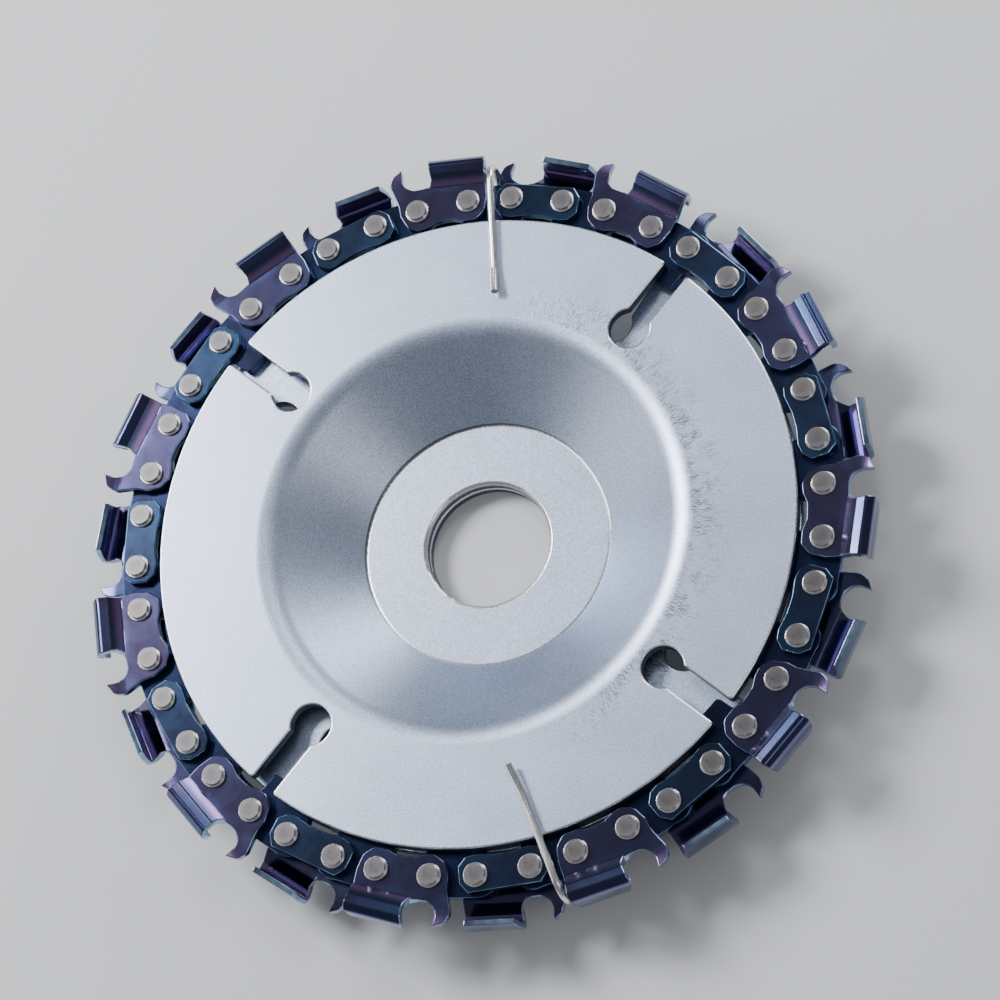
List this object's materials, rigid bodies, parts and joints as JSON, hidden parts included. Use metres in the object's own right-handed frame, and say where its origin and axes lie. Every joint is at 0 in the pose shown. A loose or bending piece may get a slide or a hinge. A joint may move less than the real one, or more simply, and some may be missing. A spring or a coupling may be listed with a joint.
{
  "type": "chain-toothed carving disc for an angle grinder",
  "caption": "Dished two-plate grinder disc whose rim grips a loop of small saw chain with alternating cutters, held by wire clips.",
  "frame": {"origin": "on the spindle axis, in the plane of the rear hub face that seats on the grinder's flange", "axes": "+Z along the spindle axis, out of the dished side that takes the clamping nut; +X and +Y in the disc's plane, with the front plate's keyholes half way between them"},
  "size_m": [0.102, 0.1026, 0.0122],
  "materials": {
    "front_plate_zinc": "zinc plated, fine grain, satin",
    "back_plate_zinc": "zinc plated, fine grain, satin",
    "cutter_steel": "heat-blued, violet to light blue, semi gloss",
    "tie_strap_steel": "heat-blued, semi gloss",
    "drive_link_steel": "heat-blued, semi gloss",
    "clip_wire": "bright drawn spring wire"
  },
  "bodies": {
    "back_plate": {"back_plate": "back_plate_zinc"},
    "front_plate": {"front_plate": "front_plate_zinc"},
    "clipped_links_1": {"front_cutter_01": "cutter_steel", "rear_tie_strap_01": "tie_strap_steel", "drive_link_01": "drive_link_steel", "rear_cutter_02": "cutter_steel"},
    "drive_link_02": {"drive_link_02": "drive_link_steel"},
    "outer_link_03": {"front_cutter_03": "cutter_steel", "rear_tie_strap_03": "tie_strap_steel"},
    "drive_link_03": {"drive_link_03": "drive_link_steel"},
    "outer_link_04": {"rear_cutter_04": "cutter_steel"},
    "drive_link_04": {"drive_link_04": "drive_link_steel"},
    "outer_link_05": {"front_cutter_05": "cutter_steel", "rear_tie_strap_05": "tie_strap_steel"},
    "drive_link_05": {"drive_link_05": "drive_link_steel"},
    "outer_link_06": {"rear_cutter_06": "cutter_steel"},
    "drive_link_06": {"drive_link_06": "drive_link_steel"},
    "outer_link_07": {"front_cutter_07": "cutter_steel", "rear_tie_strap_07": "tie_strap_steel"},
    "drive_link_07": {"drive_link_07": "drive_link_steel"},
    "outer_link_08": {"rear_cutter_08": "cutter_steel"},
    "drive_link_08": {"drive_link_08": "drive_link_steel"},
    "outer_link_09": {"front_cutter_09": "cutter_steel", "rear_tie_strap_09": "tie_strap_steel"},
    "drive_link_09": {"drive_link_09": "drive_link_steel"},
    "outer_link_10": {"rear_cutter_10": "cutter_steel"},
    "drive_link_10": {"drive_link_10": "drive_link_steel"},
    "clipped_links_2": {"front_cutter_11": "cutter_steel", "rear_tie_strap_11": "tie_strap_steel", "drive_link_11": "drive_link_steel", "rear_cutter_12": "cutter_steel"},
    "drive_link_12": {"drive_link_12": "drive_link_steel"},
    "outer_link_13": {"front_cutter_13": "cutter_steel", "rear_tie_strap_13": "tie_strap_steel"},
    "drive_link_13": {"drive_link_13": "drive_link_steel"},
    "outer_link_14": {"rear_cutter_14": "cutter_steel"},
    "drive_link_14": {"drive_link_14": "drive_link_steel"},
    "outer_link_15": {"front_cutter_15": "cutter_steel", "rear_tie_strap_15": "tie_strap_steel"},
    "drive_link_15": {"drive_link_15": "drive_link_steel"},
    "outer_link_16": {"rear_cutter_16": "cutter_steel"},
    "drive_link_16": {"drive_link_16": "drive_link_steel"},
    "outer_link_17": {"front_cutter_17": "cutter_steel", "rear_tie_strap_17": "tie_strap_steel"},
    "drive_link_17": {"drive_link_17": "drive_link_steel"},
    "outer_link_18": {"rear_cutter_18": "cutter_steel"},
    "drive_link_18": {"drive_link_18": "drive_link_steel"},
    "outer_link_19": {"front_cutter_19": "cutter_steel", "rear_tie_strap_19": "tie_strap_steel"},
    "drive_link_19": {"drive_link_19": "drive_link_steel"},
    "outer_link_20": {"rear_cutter_20": "cutter_steel"},
    "drive_link_20": {"drive_link_20": "drive_link_steel"},
    "outer_link_21": {"front_cutter_21": "cutter_steel", "rear_tie_strap_21": "tie_strap_steel"},
    "drive_link_21": {"drive_link_21": "drive_link_steel"},
    "outer_link_22": {"rear_cutter_22": "cutter_steel"},
    "drive_link_22": {"drive_link_22": "drive_link_steel"},
    "wire_clip_1": {"wire_clip_1": "clip_wire"},
    "wire_clip_2": {"wire_clip_2": "clip_wire"}
  },
  "joints": [
    {"name": "front_plate_turn", "type": "hinge", "parent": "back_plate", "child": "front_plate", "pos_m": [0, 0, 0.00842], "axis": [0, 0, 1], "continuous": true},
    {"name": "chain_slip", "type": "hinge", "parent": "back_plate", "child": "drive_link_06", "pos_m": [0, 0, 0.00842], "axis": [0, 0, 1], "continuous": true},
    {"name": "pivot_outer_07", "type": "hinge", "parent": "drive_link_06", "child": "outer_link_07", "pos_m": [0.04444, -0.00246, 0.00842], "axis": [0, 0, 1], "range_deg": [0, 8.19]},
    {"name": "pivot_drive_07", "type": "hinge", "parent": "outer_link_07", "child": "drive_link_07", "pos_m": [0.04353, -0.00927, 0.00842], "axis": [0, 0, 1], "range_deg": [0, 8.19]},
    {"name": "pivot_outer_08", "type": "hinge", "parent": "drive_link_07", "child": "outer_link_08", "pos_m": [0.04195, -0.01488, 0.00842], "axis": [0, 0, 1], "range_deg": [0, 8.19]},
    {"name": "pivot_drive_08", "type": "hinge", "parent": "outer_link_08", "child": "drive_link_08", "pos_m": [0.03916, -0.02116, 0.00842], "axis": [0, 0, 1], "range_deg": [0, 8.19]},
    {"name": "pivot_outer_09", "type": "hinge", "parent": "drive_link_08", "child": "outer_link_09", "pos_m": [0.03606, -0.02609, 0.00842], "axis": [0, 0, 1], "range_deg": [0, 8.19]},
    {"name": "pivot_drive_09", "type": "hinge", "parent": "outer_link_09", "child": "drive_link_09", "pos_m": [0.03161, -0.03133, 0.00842], "axis": [0, 0, 1], "range_deg": [0, 8.19]},
    {"name": "pivot_outer_10", "type": "hinge", "parent": "drive_link_09", "child": "outer_link_10", "pos_m": [0.02724, -0.03519, 0.00842], "axis": [0, 0, 1], "range_deg": [0, 8.19]},
    {"name": "pivot_drive_10", "type": "hinge", "parent": "outer_link_10", "child": "drive_link_10", "pos_m": [0.0215, -0.03897, 0.00842], "axis": [0, 0, 1], "range_deg": [0, 8.19]},
    {"name": "pivot_outer_11", "type": "hinge", "parent": "drive_link_10", "child": "clipped_links_2", "pos_m": [0.01622, -0.04144, 0.00842], "axis": [0, 0, 1], "range_deg": [0, 8.19]},
    {"name": "pivot_drive_12", "type": "hinge", "parent": "clipped_links_2", "child": "drive_link_12", "pos_m": [-0.00298, -0.04441, 0.00842], "axis": [0, 0, 1], "range_deg": [0, 8.19]},
    {"name": "pivot_outer_13", "type": "hinge", "parent": "drive_link_12", "child": "outer_link_13", "pos_m": [-0.00876, -0.04364, 0.00842], "axis": [0, 0, 1], "range_deg": [0, 8.19]},
    {"name": "pivot_drive_13", "type": "hinge", "parent": "outer_link_13", "child": "drive_link_13", "pos_m": [-0.01537, -0.04177, 0.00842], "axis": [0, 0, 1], "range_deg": [0, 8.19]},
    {"name": "pivot_outer_14", "type": "hinge", "parent": "drive_link_13", "child": "outer_link_14", "pos_m": [-0.0207, -0.0394, 0.00842], "axis": [0, 0, 1], "range_deg": [0, 8.19]},
    {"name": "pivot_drive_14", "type": "hinge", "parent": "outer_link_14", "child": "drive_link_14", "pos_m": [-0.02651, -0.03575, 0.00842], "axis": [0, 0, 1], "range_deg": [0, 8.19]},
    {"name": "pivot_outer_15", "type": "hinge", "parent": "drive_link_14", "child": "outer_link_15", "pos_m": [-0.03096, -0.03198, 0.00842], "axis": [0, 0, 1], "range_deg": [0, 8.19]},
    {"name": "pivot_drive_15", "type": "hinge", "parent": "outer_link_15", "child": "drive_link_15", "pos_m": [-0.03551, -0.02683, 0.00842], "axis": [0, 0, 1], "range_deg": [0, 8.19]},
    {"name": "pivot_outer_16", "type": "hinge", "parent": "drive_link_15", "child": "outer_link_16", "pos_m": [-0.03871, -0.02196, 0.00842], "axis": [0, 0, 1], "range_deg": [0, 8.19]},
    {"name": "pivot_drive_16", "type": "hinge", "parent": "outer_link_16", "child": "drive_link_16", "pos_m": [-0.04163, -0.01574, 0.00842], "axis": [0, 0, 1], "range_deg": [0, 8.19]},
    {"name": "pivot_outer_17", "type": "hinge", "parent": "drive_link_16", "child": "outer_link_17", "pos_m": [-0.04333, -0.01016, 0.00842], "axis": [0, 0, 1], "range_deg": [0, 8.19]},
    {"name": "pivot_drive_17", "type": "hinge", "parent": "outer_link_17", "child": "drive_link_17", "pos_m": [-0.04438, -0.00337, 0.00842], "axis": [0, 0, 1], "range_deg": [0, 8.18]},
    {"name": "pivot_outer_06", "type": "hinge", "parent": "drive_link_06", "child": "outer_link_06", "pos_m": [0.04438, 0.00337, 0.00842], "axis": [0, 0, -1], "range_deg": [0, 8.19]},
    {"name": "pivot_drive_05", "type": "hinge", "parent": "outer_link_06", "child": "drive_link_05", "pos_m": [0.04333, 0.01016, 0.00842], "axis": [0, 0, -1], "range_deg": [0, 8.19]},
    {"name": "pivot_outer_05", "type": "hinge", "parent": "drive_link_05", "child": "outer_link_05", "pos_m": [0.04163, 0.01574, 0.00842], "axis": [0, 0, -1], "range_deg": [0, 8.19]},
    {"name": "pivot_drive_04", "type": "hinge", "parent": "outer_link_05", "child": "drive_link_04", "pos_m": [0.03871, 0.02196, 0.00842], "axis": [0, 0, -1], "range_deg": [0, 8.19]},
    {"name": "pivot_outer_04", "type": "hinge", "parent": "drive_link_04", "child": "outer_link_04", "pos_m": [0.03551, 0.02683, 0.00842], "axis": [0, 0, -1], "range_deg": [0, 8.19]},
    {"name": "pivot_drive_03", "type": "hinge", "parent": "outer_link_04", "child": "drive_link_03", "pos_m": [0.03096, 0.03198, 0.00842], "axis": [0, 0, -1], "range_deg": [0, 8.19]},
    {"name": "pivot_outer_03", "type": "hinge", "parent": "drive_link_03", "child": "outer_link_03", "pos_m": [0.02651, 0.03575, 0.00842], "axis": [0, 0, -1], "range_deg": [0, 8.19]},
    {"name": "pivot_drive_02", "type": "hinge", "parent": "outer_link_03", "child": "drive_link_02", "pos_m": [0.0207, 0.0394, 0.00842], "axis": [0, 0, -1], "range_deg": [0, 8.19]},
    {"name": "pivot_outer_02", "type": "hinge", "parent": "drive_link_02", "child": "clipped_links_1", "pos_m": [0.01537, 0.04177, 0.00842], "axis": [0, 0, -1], "range_deg": [0, 8.19]},
    {"name": "pivot_drive_22", "type": "hinge", "parent": "clipped_links_1", "child": "drive_link_22", "pos_m": [-0.00389, 0.04434, 0.00842], "axis": [0, 0, -1], "range_deg": [0, 8.19]},
    {"name": "pivot_outer_22", "type": "hinge", "parent": "drive_link_22", "child": "outer_link_22", "pos_m": [-0.00965, 0.04345, 0.00842], "axis": [0, 0, -1], "range_deg": [0, 8.19]},
    {"name": "pivot_drive_21", "type": "hinge", "parent": "outer_link_22", "child": "drive_link_21", "pos_m": [-0.01622, 0.04144, 0.00842], "axis": [0, 0, -1], "range_deg": [0, 8.19]},
    {"name": "pivot_outer_21", "type": "hinge", "parent": "drive_link_21", "child": "outer_link_21", "pos_m": [-0.0215, 0.03897, 0.00842], "axis": [0, 0, -1], "range_deg": [0, 8.19]},
    {"name": "pivot_drive_20", "type": "hinge", "parent": "outer_link_21", "child": "drive_link_20", "pos_m": [-0.02724, 0.03519, 0.00842], "axis": [0, 0, -1], "range_deg": [0, 8.19]},
    {"name": "pivot_outer_20", "type": "hinge", "parent": "drive_link_20", "child": "outer_link_20", "pos_m": [-0.03161, 0.03133, 0.00842], "axis": [0, 0, -1], "range_deg": [0, 8.19]},
    {"name": "pivot_drive_19", "type": "hinge", "parent": "outer_link_20", "child": "drive_link_19", "pos_m": [-0.03606, 0.02609, 0.00842], "axis": [0, 0, -1], "range_deg": [0, 8.19]},
    {"name": "pivot_outer_19", "type": "hinge", "parent": "drive_link_19", "child": "outer_link_19", "pos_m": [-0.03916, 0.02116, 0.00842], "axis": [0, 0, -1], "range_deg": [0, 8.19]},
    {"name": "pivot_drive_18", "type": "hinge", "parent": "outer_link_19", "child": "drive_link_18", "pos_m": [-0.04195, 0.01488, 0.00842], "axis": [0, 0, -1], "range_deg": [0, 8.19]},
    {"name": "pivot_outer_18", "type": "hinge", "parent": "drive_link_18", "child": "outer_link_18", "pos_m": [-0.04353, 0.00927, 0.00842], "axis": [0, 0, -1], "range_deg": [0, 8.19]},
    {"name": "clip_1_pull", "type": "slide", "parent": "clipped_links_1", "child": "wire_clip_1", "axis": [0.0348, 0.9994, 0], "range_m": [0, 0.021]},
    {"name": "clip_2_pull", "type": "slide", "parent": "clipped_links_2", "child": "wire_clip_2", "axis": [0.2718, -0.9624, 0], "range_m": [0, 0.021]}
  ],
  "couplings": [
    {"joint": "pivot_outer_07", "follows": "pivot_drive_17", "ratio": 1},
    {"joint": "pivot_drive_07", "follows": "pivot_drive_17", "ratio": 1},
    {"joint": "pivot_outer_08", "follows": "pivot_drive_17", "ratio": 1},
    {"joint": "pivot_drive_08", "follows": "pivot_drive_17", "ratio": 1},
    {"joint": "pivot_outer_09", "follows": "pivot_drive_17", "ratio": 1},
    {"joint": "pivot_drive_09", "follows": "pivot_drive_17", "ratio": 1},
    {"joint": "pivot_outer_10", "follows": "pivot_drive_17", "ratio": 1},
    {"joint": "pivot_drive_10", "follows": "pivot_drive_17", "ratio": 1},
    {"joint": "pivot_outer_11", "follows": "pivot_drive_17", "ratio": 1},
    {"joint": "pivot_drive_12", "follows": "pivot_drive_17", "ratio": 1},
    {"joint": "pivot_outer_13", "follows": "pivot_drive_17", "ratio": 1},
    {"joint": "pivot_drive_13", "follows": "pivot_drive_17", "ratio": 1},
    {"joint": "pivot_outer_14", "follows": "pivot_drive_17", "ratio": 1},
    {"joint": "pivot_drive_14", "follows": "pivot_drive_17", "ratio": 1},
    {"joint": "pivot_outer_15", "follows": "pivot_drive_17", "ratio": 1},
    {"joint": "pivot_drive_15", "follows": "pivot_drive_17", "ratio": 1},
    {"joint": "pivot_outer_16", "follows": "pivot_drive_17", "ratio": 1},
    {"joint": "pivot_drive_16", "follows": "pivot_drive_17", "ratio": 1},
    {"joint": "pivot_outer_17", "follows": "pivot_drive_17", "ratio": 1},
    {"joint": "pivot_outer_06", "follows": "pivot_drive_17", "ratio": 1},
    {"joint": "pivot_drive_05", "follows": "pivot_drive_17", "ratio": 1},
    {"joint": "pivot_outer_05", "follows": "pivot_drive_17", "ratio": 1},
    {"joint": "pivot_drive_04", "follows": "pivot_drive_17", "ratio": 1},
    {"joint": "pivot_outer_04", "follows": "pivot_drive_17", "ratio": 1},
    {"joint": "pivot_drive_03", "follows": "pivot_drive_17", "ratio": 1},
    {"joint": "pivot_outer_03", "follows": "pivot_drive_17", "ratio": 1},
    {"joint": "pivot_drive_02", "follows": "pivot_drive_17", "ratio": 1},
    {"joint": "pivot_outer_02", "follows": "pivot_drive_17", "ratio": 1},
    {"joint": "pivot_drive_22", "follows": "pivot_drive_17", "ratio": 1},
    {"joint": "pivot_outer_22", "follows": "pivot_drive_17", "ratio": 1},
    {"joint": "pivot_drive_21", "follows": "pivot_drive_17", "ratio": 1},
    {"joint": "pivot_outer_21", "follows": "pivot_drive_17", "ratio": 1},
    {"joint": "pivot_drive_20", "follows": "pivot_drive_17", "ratio": 1},
    {"joint": "pivot_outer_20", "follows": "pivot_drive_17", "ratio": 1},
    {"joint": "pivot_drive_19", "follows": "pivot_drive_17", "ratio": 1},
    {"joint": "pivot_outer_19", "follows": "pivot_drive_17", "ratio": 1},
    {"joint": "pivot_drive_18", "follows": "pivot_drive_17", "ratio": 1},
    {"joint": "pivot_outer_18", "follows": "pivot_drive_17", "ratio": 1}
  ]
}
